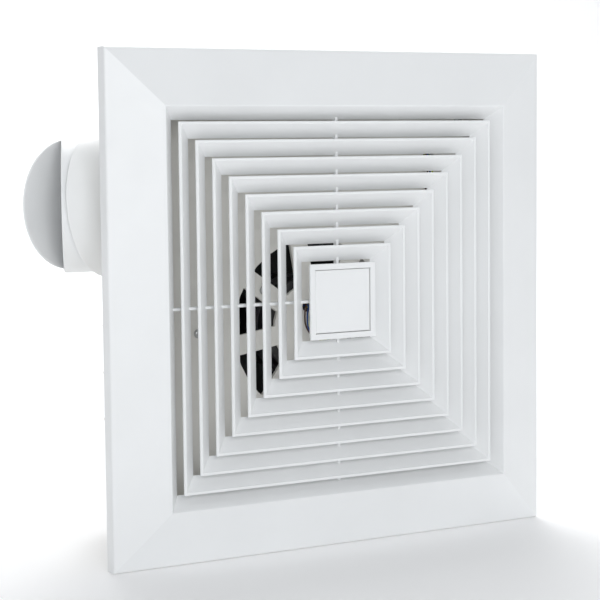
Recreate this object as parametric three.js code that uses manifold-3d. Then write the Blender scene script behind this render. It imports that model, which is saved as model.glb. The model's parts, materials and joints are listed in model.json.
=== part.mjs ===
// Ceiling duct extractor fan: a square louvred panel, a plastic housing behind it, and a centrifugal fan
// that draws air through a round inlet and blows it along a scroll into a side outlet with a shutter.
// Millimetres. +X right, +Z up, +Y away from the room. Y = 0 is the ceiling surface.
import * as THREE from 'three';
import { mergeVertices } from 'three/addons/utils/BufferGeometryUtils.js';
import Module from 'manifold-3d';

const wasm = await Module();
wasm.setup();

// ---- driving dimensions ----
const GAP = 0.3; // clearance where two pieces meet
const RUNNING_GAP = 0.1; // radial clearance of a shaft in its bearing
const ROUND = 32; // sides of a full round
const SMALL_ROUND = 12; // sides of a screw or a small hole

// panel
const PANEL_HALF = 180;
const PANEL_SIDE = 11; // height of the panel's outer wall
const PANEL_FRONT = 22.3; // how far the opening's edge stands off the ceiling
const OPENING_HALF = 140;
const PANEL_WALL = 2.2;
const SKIRT_END = 3.4; // where the opening's inner wall stops, in front of the ceiling
const LOUVRE_COUNT = 8;
const LOUVRE_PITCH = 12.7;
const LOUVRE_FIRST_HALF = 129.4;
const LOUVRE_FRONT = 19.7;
const LOUVRE_BACK = 9.2;
const LOUVRE_INSET = 9.6; // how far a louvre leans towards the centre
const LOUVRE_THICKNESS = 2.3;
const LIP_INSET = 9.7; // how far the opening's own sloping lip leans in
const RIB_WIDTH = 2.2;
const RIB_FRONT = 12.5;
const RIB_BACK = 7.5;
const BADGE_FRAME_HALF = 27.3;
const BADGE_TRAY_HALF = 24.8;
const BADGE_TRAY_FLOOR = 14.2;
const BADGE_HALF = 22.7;
const BADGE_FRONT = 18.9;
const BADGE_STUD_RADIUS = 2.6;
const SPRING_WIDTH = 22;
const SPRING_REACH = 15;
const SPRING_THICKNESS = 0.8;

// housing
const WALL = 1.8;
const FLANGE_HALF = 160;
const FLANGE_THICKNESS = 2;
const TRAY_HALF = 143;
const TRAY_DEPTH = 29.8;
const BOX_HALF_X = 120;
const BOX_HALF_Z = 127;
const BOX_DEPTH = 140;
const CORNER_RADIUS = 9;
const BOX_CORNER_RADIUS = 3;
const FLANGE_HOLE_X = 151.5;
const FLANGE_HOLE_Z = 100;
const FLANGE_HOLE_RADIUS = 2.3;

// orifice plate and motor spider
const PLATE_FRONT = 26;
const PLATE_BACK = 27.7;
const PLATE_HALF = 140.6;
const INLET_RADIUS = 65.5;
const INLET_LIP_END = 35;
const FAN_Z = -22;
const SPIDER_ARMS = 8;
const SPIDER_FIRST_ANGLE = 10;
const SPIDER_ARM_WIDTH = 14.3;
const SPIDER_HUB_RADIUS = 32;
const SPIDER_THICKNESS = 3;
const PLATE_SCREW_AT = 131;
const LEAD_HOLE = { x: -4, z: 15, radius: 4.5 }; // from the fan axis

// motor, all on the fan axis
const SHAFT_RADIUS = 4;
const SHAFT_START = 29.9;
const SHAFT_END = 119;
const BELL_RADIUS = 38;
const BELL_FRONT = 29.3;
const BELL_WALL = 2;
const STATOR_FRONT = 42.3;
const STATOR_BACK = 57.7;
const BELL_BACK = 71.5;
const BEARING_RADIUS = 8;
const BEARING_LENGTH = 9;
const STATOR_BORE = 20;
const STATOR_SLOTS = 12;
const WINDING_INNER = 22.5;
const WINDING_OUTER = 33;
const WINDING_LENGTH = 9;
const LUG_WIDTH = 11;
const ROTOR_RADIUS = 19.5;
const MOTOR_SCREW_RADIUS = 50;
const MOTOR_SCREW_ANGLES = [55, 145, 235, 325];

// impeller and scroll
const IMPELLER_RADIUS = 74;
const IMPELLER_INNER = 61;
const IMPELLER_FRONT = 36.5;
const IMPELLER_BACK = 105;
const BLADE_COUNT = 24;
const SCROLL_START = 77.5;
const SCROLL_FIRST_ANGLE = 130;
const SCROLL_LAST_ANGLE = 450;
const SCROLL_TOP = 135;
const SCROLL_WALL = 1.4;
const SCROLL_FRONT = 28;
const SCROLL_BACK = 137.9;
const SCROLL_END_X = -115;
const TONGUE_END_Z = 49;
const SCROLL_BOSSES = [[-95, 0], [60, 133]];
const BOSS_RADIUS = 4.5;

// outlet: distances are from the point where its axis leaves the housing wall
const OUTLET_Y = 84;
const OUTLET_Z = 71.5;
const SPIGOT_RADIUS = 49.5;
const SPIGOT_WALL = 1.9;
const SPIGOT_REACH = 53.1; // to the mouth, on the axis
const MOUTH_SLANT = 23.3; // the mouth leans back, its room side longer
const SOCKET_RADIUS = 53.5;
const SOCKET_REACH = 22.7;
const SOCKET_SLANT = 42.9;
const SOCKET_LEAN = -3;
const SHUTTER_PIVOT = 48.2;
const SHUTTER_HALF_HEIGHT = 46.8;
const SHUTTER_HALF_WIDTH = 50.2;
const SHUTTER_THICKNESS = 1.6;
const SHUTTER_ANGLE = 62.3; // shown open: the blade's turn from square across the duct
const PIN_RADIUS = 1.5;

// electrical
const TERMINAL_BOX = { x: [78, 117.8], y: [40, 100], z: [86, 124.8] };
const GLAND_Y = 72;
const GLAND_Z = 105;
const GLAND_RADIUS = 8;
const LEAD_RADIUS = 0.65;
const LEAD_PLATE_HOLE = { x: 104, z: 104.5, radius: 5 };

// screws
const SCREW = { head: 3.4, headHeight: 2.2, shank: 1.5, hole: 1.8 };

const radians = THREE.MathUtils.degToRad;

// ---- solids ----
function solidOf(geometry) {
  const bare = geometry.index ? geometry.toNonIndexed() : geometry.clone();
  bare.deleteAttribute('normal');
  bare.deleteAttribute('uv');
  const merged = mergeVertices(bare, 1e-4);
  const corners = merged.index.array;
  const triangles = [];
  for (let i = 0; i < corners.length; i += 3) {
    const [a, b, c] = [corners[i], corners[i + 1], corners[i + 2]];
    if (a !== b && b !== c && c !== a) {
      triangles.push(a, b, c);
    }
  }
  const mesh = new wasm.Mesh({
    numProp: 3,
    vertProperties: merged.attributes.position.array,
    triVerts: new Uint32Array(triangles),
  });
  return new wasm.Manifold(mesh);
}

function geometryOf(solid) {
  const mesh = solid.getMesh();
  const geometry = new THREE.BufferGeometry();
  geometry.setAttribute('position', new THREE.BufferAttribute(new Float32Array(mesh.vertProperties), 3));
  geometry.setIndex(new THREE.BufferAttribute(new Uint32Array(mesh.triVerts), 1));
  return geometry;
}

function joined(solids) {
  return solids.reduce((whole, solid) => whole.add(solid));
}

function cut(solid, tools) {
  return tools.reduce((rest, tool) => rest.subtract(tool), solid);
}

function box(x, y, z) {
  const geometry = new THREE.BoxGeometry(x[1] - x[0], y[1] - y[0], z[1] - z[0]);
  geometry.translate((x[0] + x[1]) / 2, (y[0] + y[1]) / 2, (z[0] + z[1]) / 2);
  return solidOf(geometry);
}

// A round rod along one axis from start to end; across holds its place on the other two axes.
function rod(axis, radius, start, end, across = [0, 0], sides = ROUND) {
  const geometry = new THREE.CylinderGeometry(radius, radius, end - start, sides);
  const middle = (start + end) / 2;
  if (axis === 'x') {
    geometry.rotateZ(Math.PI / 2);
    geometry.translate(middle, across[0], across[1]);
  } else if (axis === 'y') {
    geometry.translate(across[0], middle, across[1]);
  } else {
    geometry.rotateX(Math.PI / 2);
    geometry.translate(across[0], across[1], middle);
  }
  return solidOf(geometry);
}

function counterClockwise(points) {
  let area = 0;
  points.forEach(([x, y], i) => {
    const [nextX, nextY] = points[(i + 1) % points.length];
    area += x * nextY - nextX * y;
  });
  return area > 0 ? points : [...points].reverse();
}

// A closed [radius, y] section turned about the Y axis.
function ring(section) {
  const points = counterClockwise(section);
  const closed = [...points, points[0]].map(([r, y]) => new THREE.Vector2(r, y));
  return solidOf(new THREE.LatheGeometry(closed, ROUND));
}

// A square ring with mitred corners: the section gives half-widths in place of radii.
function squareRing(section) {
  const points = counterClockwise(section);
  const closed = [...points, points[0]].map(([half, y]) => new THREE.Vector2(half * Math.SQRT2, y));
  return solidOf(new THREE.LatheGeometry(closed, 4, Math.PI / 4));
}

// A solid square form whose section starts and ends on the axis.
function squareForm(section) {
  const points = section.map(([half, y]) => new THREE.Vector2(half * Math.SQRT2, y));
  return solidOf(new THREE.LatheGeometry(points, 4, Math.PI / 4));
}

// A shape in the X-Z plane given a thickness along Y.
function plate(shape, front, back, curveSegments = 4) {
  const geometry = new THREE.ExtrudeGeometry(shape, {
    depth: back - front,
    bevelEnabled: false,
    curveSegments,
  });
  geometry.rotateX(Math.PI / 2);
  geometry.translate(0, back, 0);
  return solidOf(geometry);
}

function shapeThrough(points) {
  return new THREE.Shape(points.map(([x, z]) => new THREE.Vector2(x, z)));
}

function roundedRectangle(halfX, halfZ, radius) {
  const shape = new THREE.Shape();
  shape.moveTo(halfX - radius, -halfZ);
  shape.absarc(halfX - radius, -halfZ + radius, radius, -Math.PI / 2, 0);
  shape.absarc(halfX - radius, halfZ - radius, radius, 0, Math.PI / 2);
  shape.absarc(-halfX + radius, halfZ - radius, radius, Math.PI / 2, Math.PI);
  shape.absarc(-halfX + radius, -halfZ + radius, radius, Math.PI, Math.PI * 1.5);
  return shape;
}

function polar(radius, degrees) {
  return [radius * Math.cos(radians(degrees)), radius * Math.sin(radians(degrees))];
}

// ---- materials ----
function plastic(colour, roughness) {
  return new THREE.MeshStandardMaterial({ color: colour, roughness, metalness: 0 });
}

function metal(colour, roughness) {
  return new THREE.MeshStandardMaterial({ color: colour, roughness, metalness: 1 });
}

const whitePlastic = () => plastic(0xe9ecee, 0.45);
const warmWhitePlastic = () => plastic(0xd9d8d4, 0.55);
const blackPlastic = () => plastic(0x1b1c1b, 0.5);
const blackPaint = () => plastic(0x202122, 0.4);
const bronze = () => metal(0xa8843c, 0.4);
const steel = () => metal(0xb9bcbf, 0.35);
const copper = () => metal(0xb06a3c, 0.4);
const laminatedSteel = () => metal(0x6d7073, 0.55);

function add(group, name, solid, material, x = 0, y = 0, z = 0) {
  const mesh = new THREE.Mesh(geometryOf(solid), material);
  mesh.name = name;
  mesh.position.set(x, y, z);
  group.add(mesh);
}

// ---- panel ----
function louvreSection(half) {
  return [
    [half - 1.9, -LOUVRE_FRONT],
    [half - 0.4, -LOUVRE_FRONT],
    [half, -LOUVRE_FRONT + 0.4],
    [half, -LOUVRE_FRONT + 1.5],
    [half - LOUVRE_INSET - 0.6, -LOUVRE_BACK],
    [half - LOUVRE_INSET - LOUVRE_THICKNESS, -LOUVRE_BACK],
    [half - LOUVRE_THICKNESS, -LOUVRE_FRONT + 0.6],
  ];
}

function panelFrame() {
  return squareRing([
    [PANEL_HALF, 0],
    [PANEL_HALF, -PANEL_SIDE + 0.8],
    [PANEL_HALF - 0.7, -PANEL_SIDE],
    [OPENING_HALF + 1, -PANEL_FRONT + 0.2],
    [OPENING_HALF + 0.3, -PANEL_FRONT],
    [OPENING_HALF - 0.4, -PANEL_FRONT + 0.6],
    [OPENING_HALF - LIP_INSET, -LOUVRE_BACK],
    [OPENING_HALF - LIP_INSET + 1.7, -LOUVRE_BACK],
    [OPENING_HALF - 0.8, -PANEL_FRONT + 4.6],
    [OPENING_HALF - 0.8, -SKIRT_END],
    [OPENING_HALF + 1.2, -SKIRT_END],
    [OPENING_HALF + 1.2, -PANEL_FRONT + 2.9],
    [PANEL_HALF - PANEL_WALL, -PANEL_SIDE + 1.8],
    [PANEL_HALF - PANEL_WALL, 0],
  ]);
}

function badgeTray() {
  return squareForm([
    [0, -BADGE_TRAY_FLOOR],
    [BADGE_TRAY_HALF - 0.1, -BADGE_TRAY_FLOOR],
    [BADGE_TRAY_HALF, -LOUVRE_FRONT + 0.3],
    [BADGE_TRAY_HALF + 0.3, -LOUVRE_FRONT],
    [BADGE_FRAME_HALF - 0.3, -LOUVRE_FRONT],
    [BADGE_FRAME_HALF, -LOUVRE_FRONT + 0.3],
    [BADGE_FRAME_HALF, -LOUVRE_BACK],
    [BADGE_TRAY_HALF + 0.8, -LOUVRE_BACK],
    [BADGE_TRAY_HALF + 0.8, -BADGE_TRAY_FLOOR + 1.5],
    [0, -BADGE_TRAY_FLOOR + 1.5],
  ]);
}

function frontGrille() {
  const pieces = [panelFrame(), badgeTray()];
  for (let i = 0; i < LOUVRE_COUNT; i += 1) {
    pieces.push(squareRing(louvreSection(LOUVRE_FIRST_HALF - LOUVRE_PITCH * i)));
  }
  const depth = [-RIB_FRONT, -RIB_BACK];
  const width = [-RIB_WIDTH / 2, RIB_WIDTH / 2];
  const inner = BADGE_TRAY_HALF + 1.2;
  const outer = OPENING_HALF + 0.5;
  for (const reach of [[-outer, -inner], [inner, outer]]) {
    pieces.push(box(reach, depth, width));
    pieces.push(box(width, depth, reach));
  }
  const studHole = rod('y', BADGE_STUD_RADIUS + GAP, -BADGE_TRAY_FLOOR - 1, -BADGE_TRAY_FLOOR + 3);
  return joined(pieces).subtract(studHole);
}

function centreBadge() {
  const back = -BADGE_TRAY_FLOOR - GAP;
  const face = squareForm([
    [0, -BADGE_FRONT],
    [BADGE_HALF - 0.5, -BADGE_FRONT],
    [BADGE_HALF, -BADGE_FRONT + 0.5],
    [BADGE_HALF, back],
    [0, back],
  ]);
  return face.add(rod('y', BADGE_STUD_RADIUS, back - 1, -LOUVRE_BACK + 1, [0, 0], 24));
}

// A leaf spring on the panel's skirt that reaches back into the housing tray, seen along the panel's top edge.
function panelSpring() {
  const foot = OPENING_HALF + 1.2 + GAP;
  const leaf = OPENING_HALF - 0.3;
  const thick = SPRING_THICKNESS;
  const section = shapeThrough([
    [foot, -PANEL_SIDE],
    [foot + thick, -PANEL_SIDE],
    [foot + thick, -SKIRT_END + GAP + thick],
    [leaf + thick, -SKIRT_END + GAP + thick],
    [leaf + thick, SPRING_REACH - 9],
    [leaf + thick + 0.4, SPRING_REACH - 6],
    [leaf + thick, SPRING_REACH - 3],
    [leaf, SPRING_REACH],
    [leaf - 0.6, SPRING_REACH - 0.5],
    [leaf, SPRING_REACH - 3.2],
    [leaf, -SKIRT_END + GAP],
    [foot, -SKIRT_END + GAP],
  ]);
  const geometry = new THREE.ExtrudeGeometry(section, { depth: SPRING_WIDTH, bevelEnabled: false });
  geometry.translate(0, 0, -SPRING_WIDTH / 2);
  return solidOf(geometry);
}

function addPanel(group) {
  add(group, 'front_grille', frontGrille(), whitePlastic());
  add(group, 'centre_badge', centreBadge(), whitePlastic());
  const sides = ['right', 'top', 'left', 'bottom'];
  sides.forEach((side, i) => {
    const turned = new THREE.Group();
    turned.rotation.y = -i * Math.PI / 2;
    add(turned, `panel_spring_${side}`, panelSpring(), steel());
    group.add(turned);
  });
}

// ---- screws ----
// A pan-head screw along +Y; its head bears on the plane y = 0.
function screw(length) {
  const { head, headHeight, shank } = SCREW;
  const section = [
    [0, -headHeight],
    [head - 1, -headHeight],
    [head, -headHeight + 1.2],
    [head, -GAP],
    [shank, -GAP],
    [shank, length],
    [0, length],
  ].map(([r, y]) => new THREE.Vector2(r, y));
  return solidOf(new THREE.LatheGeometry(section, SMALL_ROUND));
}

function screwHole(x, z, front, back) {
  return rod('y', SCREW.hole, front, back, [x, z], SMALL_ROUND);
}

function platePattern() {
  const places = [];
  for (const x of [-PLATE_SCREW_AT, PLATE_SCREW_AT]) {
    for (const z of [-PLATE_SCREW_AT, PLATE_SCREW_AT]) {
      places.push([x, z]);
    }
  }
  return places;
}

// ---- housing ----
function housingShell() {
  const innerX = BOX_HALF_X - WALL;
  const innerZ = BOX_HALF_Z - WALL;
  const trayInner = TRAY_HALF - WALL;
  const whole = joined([
    plate(roundedRectangle(FLANGE_HALF, FLANGE_HALF, CORNER_RADIUS), -FLANGE_THICKNESS, 0),
    plate(roundedRectangle(TRAY_HALF, TRAY_HALF, CORNER_RADIUS), -FLANGE_THICKNESS, TRAY_DEPTH),
    plate(roundedRectangle(BOX_HALF_X, BOX_HALF_Z, BOX_CORNER_RADIUS), TRAY_DEPTH - WALL, BOX_DEPTH),
  ]);
  const tools = [
    plate(roundedRectangle(trayInner, trayInner, CORNER_RADIUS - WALL), -FLANGE_THICKNESS - 1, TRAY_DEPTH - WALL),
    plate(roundedRectangle(innerX, innerZ, BOX_CORNER_RADIUS - WALL), 0, BOX_DEPTH - WALL),
    rod('x', SPIGOT_RADIUS + GAP, -BOX_HALF_X - 1, -innerX + 1, [OUTLET_Y, OUTLET_Z]),
    rod('x', GLAND_RADIUS + GAP, innerX - 1, BOX_HALF_X + 1, [GLAND_Y, GLAND_Z], 24),
  ];
  for (const [x, z] of platePattern()) {
    tools.push(screwHole(x, z, TRAY_DEPTH - WALL - 1, TRAY_DEPTH + 1));
  }
  for (const x of [-FLANGE_HOLE_X, FLANGE_HOLE_X]) {
    for (const z of [-FLANGE_HOLE_Z, FLANGE_HOLE_Z]) {
      tools.push(rod('y', FLANGE_HOLE_RADIUS, -FLANGE_THICKNESS - 1, 1, [x, z], SMALL_ROUND));
    }
  }
  return cut(whole, tools);
}

// ---- orifice plate with its motor spider ----
function spiderArm(index) {
  const angle = SPIDER_FIRST_ANGLE + index * 360 / SPIDER_ARMS;
  const inner = SPIDER_HUB_RADIUS - 2;
  const outer = INLET_RADIUS + 1;
  const geometry = new THREE.BoxGeometry(outer - inner, SPIDER_THICKNESS, SPIDER_ARM_WIDTH);
  geometry.translate((inner + outer) / 2, PLATE_FRONT + SPIDER_THICKNESS / 2, 0);
  geometry.rotateY(-radians(angle));
  geometry.translate(0, 0, FAN_Z);
  return solidOf(geometry);
}

function orificePlate() {
  const lip = ring([
    [INLET_RADIUS, PLATE_FRONT],
    [INLET_RADIUS + WALL, PLATE_FRONT],
    [INLET_RADIUS + WALL, INLET_LIP_END],
    [INLET_RADIUS, INLET_LIP_END],
  ]).translate(0, 0, FAN_Z);
  const sheet = plate(roundedRectangle(PLATE_HALF, PLATE_HALF, CORNER_RADIUS - WALL), PLATE_FRONT, PLATE_BACK);
  const opened = sheet.subtract(rod('y', INLET_RADIUS, PLATE_FRONT - 1, PLATE_BACK + 1, [0, FAN_Z]));
  const hubBack = PLATE_FRONT + SPIDER_THICKNESS;
  const pieces = [opened, lip, rod('y', SPIDER_HUB_RADIUS, PLATE_FRONT, hubBack, [0, FAN_Z])];
  for (let i = 0; i < SPIDER_ARMS; i += 1) {
    pieces.push(spiderArm(i));
  }
  const ends = [PLATE_FRONT - 1, INLET_LIP_END + 1];
  const tools = [
    rod('y', LEAD_HOLE.radius, ...ends, [LEAD_HOLE.x, LEAD_HOLE.z + FAN_Z], SMALL_ROUND),
    rod('y', LEAD_PLATE_HOLE.radius, ...ends, [LEAD_PLATE_HOLE.x, LEAD_PLATE_HOLE.z], SMALL_ROUND),
  ];
  for (const [x, z] of platePattern()) {
    tools.push(screwHole(x, z, ...ends));
  }
  for (const angle of MOTOR_SCREW_ANGLES) {
    const [x, z] = polar(MOTOR_SCREW_RADIUS, angle);
    tools.push(screwHole(x, z + FAN_Z, ...ends));
  }
  for (const [x, z] of SCROLL_BOSSES) {
    tools.push(screwHole(x, z + FAN_Z, ...ends));
  }
  return cut(joined(pieces), tools);
}

function addPlateScrews(group) {
  platePattern().forEach(([x, z], i) => {
    add(group, `plate_screw_${i + 1}`, screw(6), steel(), x, PLATE_FRONT, z);
  });
  SCROLL_BOSSES.forEach(([x, z], i) => {
    add(group, `scroll_screw_${i + 1}`, screw(12), steel(), x, PLATE_FRONT, z + FAN_Z);
  });
}

// ---- scroll: the wall that gathers the air round the impeller ----
function scrollRadius(degrees) {
  const growth = Math.log(SCROLL_TOP / SCROLL_START) / radians(SCROLL_LAST_ANGLE - SCROLL_FIRST_ANGLE);
  return SCROLL_START * Math.exp(growth * radians(degrees - SCROLL_FIRST_ANGLE));
}

function scrollWall() {
  const inner = [];
  const outer = [];
  for (let angle = SCROLL_FIRST_ANGLE; angle <= SCROLL_LAST_ANGLE; angle += 8) {
    inner.push(polar(scrollRadius(angle), angle));
    outer.push(polar(scrollRadius(angle) + SCROLL_WALL, angle));
  }
  inner.push([SCROLL_END_X, SCROLL_TOP]);
  outer.push([SCROLL_END_X, SCROLL_TOP + SCROLL_WALL]);
  const spiral = shapeThrough([...inner, ...outer.reverse()]);
  const tip = polar(SCROLL_START + 2.3, SCROLL_FIRST_ANGLE);
  const tongue = shapeThrough([
    [SCROLL_END_X, TONGUE_END_Z],
    [tip[0], tip[1]],
    [tip[0], tip[1] + SCROLL_WALL],
    [SCROLL_END_X, TONGUE_END_Z + SCROLL_WALL],
  ]);
  const pieces = [
    plate(spiral, SCROLL_FRONT, SCROLL_BACK),
    plate(tongue, SCROLL_FRONT, SCROLL_BACK),
    rod('y', 2.2, SCROLL_FRONT, SCROLL_BACK, tip, SMALL_ROUND),
  ];
  const holes = [];
  for (const [x, z] of SCROLL_BOSSES) {
    const angle = THREE.MathUtils.radToDeg(Math.atan2(z, x));
    const turn = (angle - SCROLL_FIRST_ANGLE + 360) % 360 + SCROLL_FIRST_ANGLE;
    const reach = Math.hypot(x, z) - scrollRadius(turn);
    const web = new THREE.BoxGeometry(reach, SCROLL_BACK - SCROLL_FRONT, SCROLL_WALL * 2);
    web.translate(scrollRadius(turn) + reach / 2 + SCROLL_WALL / 2, (SCROLL_FRONT + SCROLL_BACK) / 2, 0);
    web.rotateY(-radians(angle));
    pieces.push(solidOf(web), rod('y', BOSS_RADIUS, SCROLL_FRONT, SCROLL_BACK, [x, z], SMALL_ROUND));
    holes.push(screwHole(x, z, SCROLL_FRONT - 1, SCROLL_FRONT + 16));
  }
  return cut(joined(pieces), holes);
}

// ---- motor ----
// An ear on the front bell, behind a spider arm, for one motor screw.
function motorLug(angle, back) {
  const reach = [BELL_RADIUS - 1.5, MOTOR_SCREW_RADIUS];
  const bar = box(reach, [BELL_FRONT, back], [-LUG_WIDTH / 2, LUG_WIDTH / 2]);
  const end = rod('y', LUG_WIDTH / 2, BELL_FRONT, back, [MOTOR_SCREW_RADIUS, 0], SMALL_ROUND);
  return bar.add(end).rotate(0, -angle, 0);
}

function frontBell() {
  const boss = BEARING_RADIUS + GAP;
  const floor = BELL_FRONT + BELL_WALL;
  const bell = ring([
    [boss, BELL_FRONT],
    [BELL_RADIUS - 1, BELL_FRONT],
    [BELL_RADIUS, BELL_FRONT + 1],
    [BELL_RADIUS, STATOR_FRONT - GAP],
    [BELL_RADIUS - BELL_WALL, STATOR_FRONT - GAP],
    [BELL_RADIUS - BELL_WALL, floor],
    [boss + 2.7, floor],
    [boss + 2.7, BELL_FRONT + BEARING_LENGTH + 0.7],
    [boss, BELL_FRONT + BEARING_LENGTH + 0.7],
  ]);
  const lugs = MOTOR_SCREW_ANGLES.map((angle) => motorLug(angle, floor));
  const holes = MOTOR_SCREW_ANGLES.map((angle) => {
    return screwHole(...polar(MOTOR_SCREW_RADIUS, angle), BELL_FRONT - 1, floor + 1);
  });
  const leadHole = rod('y', 3.4, BELL_FRONT - 1, floor + 1, [LEAD_HOLE.x, LEAD_HOLE.z], SMALL_ROUND);
  return cut(joined([bell, ...lugs]), [...holes, leadHole]);
}

function rearBell() {
  const boss = BEARING_RADIUS + GAP;
  const floor = BELL_BACK - BELL_WALL;
  return ring([
    [BELL_RADIUS, STATOR_BACK + GAP],
    [BELL_RADIUS, floor],
    [BELL_RADIUS - 2.5, BELL_BACK],
    [boss, BELL_BACK],
    [boss, BELL_BACK - BEARING_LENGTH - 0.7],
    [boss + 2.7, BELL_BACK - BEARING_LENGTH - 0.7],
    [boss + 2.7, floor],
    [BELL_RADIUS - BELL_WALL - 1.5, floor],
    [BELL_RADIUS - BELL_WALL, floor - 1.5],
    [BELL_RADIUS - BELL_WALL, STATOR_BACK + GAP],
  ]);
}

function bearing(front) {
  const bore = SHAFT_RADIUS + RUNNING_GAP;
  return ring([
    [bore, front],
    [BEARING_RADIUS, front],
    [BEARING_RADIUS, front + BEARING_LENGTH],
    [bore, front + BEARING_LENGTH],
  ]);
}

// Laminated ring with winding slots opening into its bore.
function statorCore() {
  const core = ring([
    [STATOR_BORE, STATOR_FRONT],
    [BELL_RADIUS, STATOR_FRONT],
    [BELL_RADIUS, STATOR_BACK],
    [STATOR_BORE, STATOR_BACK],
  ]);
  const slots = [];
  for (let i = 0; i < STATOR_SLOTS; i += 1) {
    const slot = new THREE.BoxGeometry(9, STATOR_BACK - STATOR_FRONT + 2, 4);
    slot.translate(STATOR_BORE + 3.5, (STATOR_FRONT + STATOR_BACK) / 2, 0);
    slot.rotateY(i * 2 * Math.PI / STATOR_SLOTS);
    slots.push(solidOf(slot));
  }
  return cut(core, slots);
}

function winding(front) {
  const [inner, outer, back] = [WINDING_INNER, WINDING_OUTER, front + WINDING_LENGTH];
  return ring([
    [inner, front + 2.5],
    [inner + 2.5, front],
    [outer - 2.5, front],
    [outer, front + 2.5],
    [outer, back],
    [inner, back],
  ]);
}

function rotorCore() {
  const inner = SHAFT_RADIUS + GAP;
  return ring([
    [inner, STATOR_FRONT - 1.3],
    [ROTOR_RADIUS, STATOR_FRONT - 1.3],
    [ROTOR_RADIUS, STATOR_BACK + 1.3],
    [inner, STATOR_BACK + 1.3],
  ]);
}

function shaft() {
  return rod('y', SHAFT_RADIUS, SHAFT_START, SHAFT_END);
}

// ---- impeller: forward-curved blades between a front ring and a back plate ----
function blade(index) {
  const outer = IMPELLER_RADIUS - 1;
  const near = [];
  const far = [];
  const steps = 3;
  for (let i = 0; i <= steps; i += 1) {
    const t = i / steps;
    const radius = IMPELLER_INNER + (outer - IMPELLER_INNER) * t;
    const sweep = 9 * t * t - 2 * t;
    near.push(polar(radius, sweep));
    far.push(polar(radius, sweep + 1.3));
  }
  const solid = plate(shapeThrough([...near, ...far.reverse()]), IMPELLER_FRONT + 1, IMPELLER_BACK - 1);
  return solid.rotate(0, index * 360 / BLADE_COUNT, 0);
}

function impeller() {
  const bore = SHAFT_RADIUS + GAP;
  const back = ring([
    [bore, IMPELLER_BACK - 12],
    [bore + 5, IMPELLER_BACK - 12],
    [bore + 6, IMPELLER_BACK - 2],
    [IMPELLER_RADIUS, IMPELLER_BACK - 2],
    [IMPELLER_RADIUS, IMPELLER_BACK],
    [bore + 6, IMPELLER_BACK],
    [bore + 6, IMPELLER_BACK + 7],
    [bore, IMPELLER_BACK + 7],
  ]);
  const front = ring([
    [IMPELLER_INNER + 0.5, IMPELLER_FRONT],
    [IMPELLER_RADIUS, IMPELLER_FRONT],
    [IMPELLER_RADIUS, IMPELLER_FRONT + 2.2],
    [IMPELLER_INNER + 0.5, IMPELLER_FRONT + 2.2],
  ]);
  const pieces = [back, front];
  for (let i = 0; i < BLADE_COUNT; i += 1) {
    pieces.push(blade(i));
  }
  return joined(pieces);
}

function impellerNut() {
  const front = IMPELLER_BACK + 7 + GAP;
  const bore = rod('y', SHAFT_RADIUS + GAP, front - 1, front + 6);
  return rod('y', 8, front, front + 5, [0, 0], 6).subtract(bore);
}

function addFan(group) {
  add(group, 'scroll_wall', scrollWall(), warmWhitePlastic());
  add(group, 'motor_front_bell', frontBell(), blackPaint());
  add(group, 'motor_rear_bell', rearBell(), blackPaint());
  add(group, 'front_bearing', bearing(BELL_FRONT + GAP), bronze());
  add(group, 'rear_bearing', bearing(BELL_BACK - GAP - BEARING_LENGTH), bronze());
  add(group, 'stator_core', statorCore(), laminatedSteel());
  add(group, 'stator_winding_front', winding(STATOR_FRONT - GAP - WINDING_LENGTH), copper());
  add(group, 'stator_winding_rear', winding(STATOR_BACK + GAP), copper());
  add(group, 'rotor_core', rotorCore(), laminatedSteel());
  add(group, 'motor_shaft', shaft(), steel());
  add(group, 'impeller', impeller(), blackPlastic());
  add(group, 'impeller_nut', impellerNut(), steel());
  MOTOR_SCREW_ANGLES.forEach((angle, i) => {
    const [x, z] = polar(MOTOR_SCREW_RADIUS, angle);
    add(group, `motor_screw_${i + 1}`, screw(8), steel(), x, PLATE_FRONT, z);
  });
}

// ---- outlet ----
// A block that covers everything beyond a leaning plane, for cutting a tube's end.
function beyondPlane(reach, slant, lean) {
  const size = 400;
  const geometry = new THREE.BoxGeometry(size, size, size);
  geometry.translate(-size / 2, 0, 0);
  geometry.rotateY(radians(lean));
  geometry.rotateZ(-radians(slant));
  geometry.translate(-reach, 0, 0);
  return solidOf(geometry);
}

function outletSpigot() {
  const bore = SPIGOT_RADIUS - SPIGOT_WALL;
  const inside = WALL + GAP;
  const tube = rod('x', SPIGOT_RADIUS, -130, inside + 1.5);
  const rim = rod('x', SPIGOT_RADIUS + 3, inside, inside + 1.5);
  const pinHole = rod('z', PIN_RADIUS + GAP, -60, 60, [-SHUTTER_PIVOT, 0], SMALL_ROUND);
  return cut(tube.add(rim), [
    rod('x', bore, -140, 20),
    beyondPlane(SPIGOT_REACH, MOUTH_SLANT, 0),
    pinHole,
  ]);
}

function outletSocket() {
  const sleeve = rod('x', SOCKET_RADIUS, -90, -GAP);
  const shaped = sleeve.subtract(beyondPlane(SOCKET_REACH, SOCKET_SLANT, SOCKET_LEAN));
  const collar = rod('x', SOCKET_RADIUS, -5, -GAP);
  const bore = rod('x', SPIGOT_RADIUS + GAP, -100, 1);
  return shaped.add(collar).subtract(bore);
}

function shutterFlap() {
  const disc = new THREE.CylinderGeometry(1, 1, SHUTTER_THICKNESS, ROUND);
  disc.scale(SHUTTER_HALF_WIDTH, 1, SHUTTER_HALF_HEIGHT);
  const barrel = rod('z', PIN_RADIUS + 1.9, -SHUTTER_HALF_HEIGHT + 1, SHUTTER_HALF_HEIGHT - 1, [0, 0], SMALL_ROUND);
  const bore = rod('z', PIN_RADIUS + RUNNING_GAP, -60, 60, [0, 0], SMALL_ROUND);
  return solidOf(disc).add(barrel).subtract(bore);
}

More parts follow.
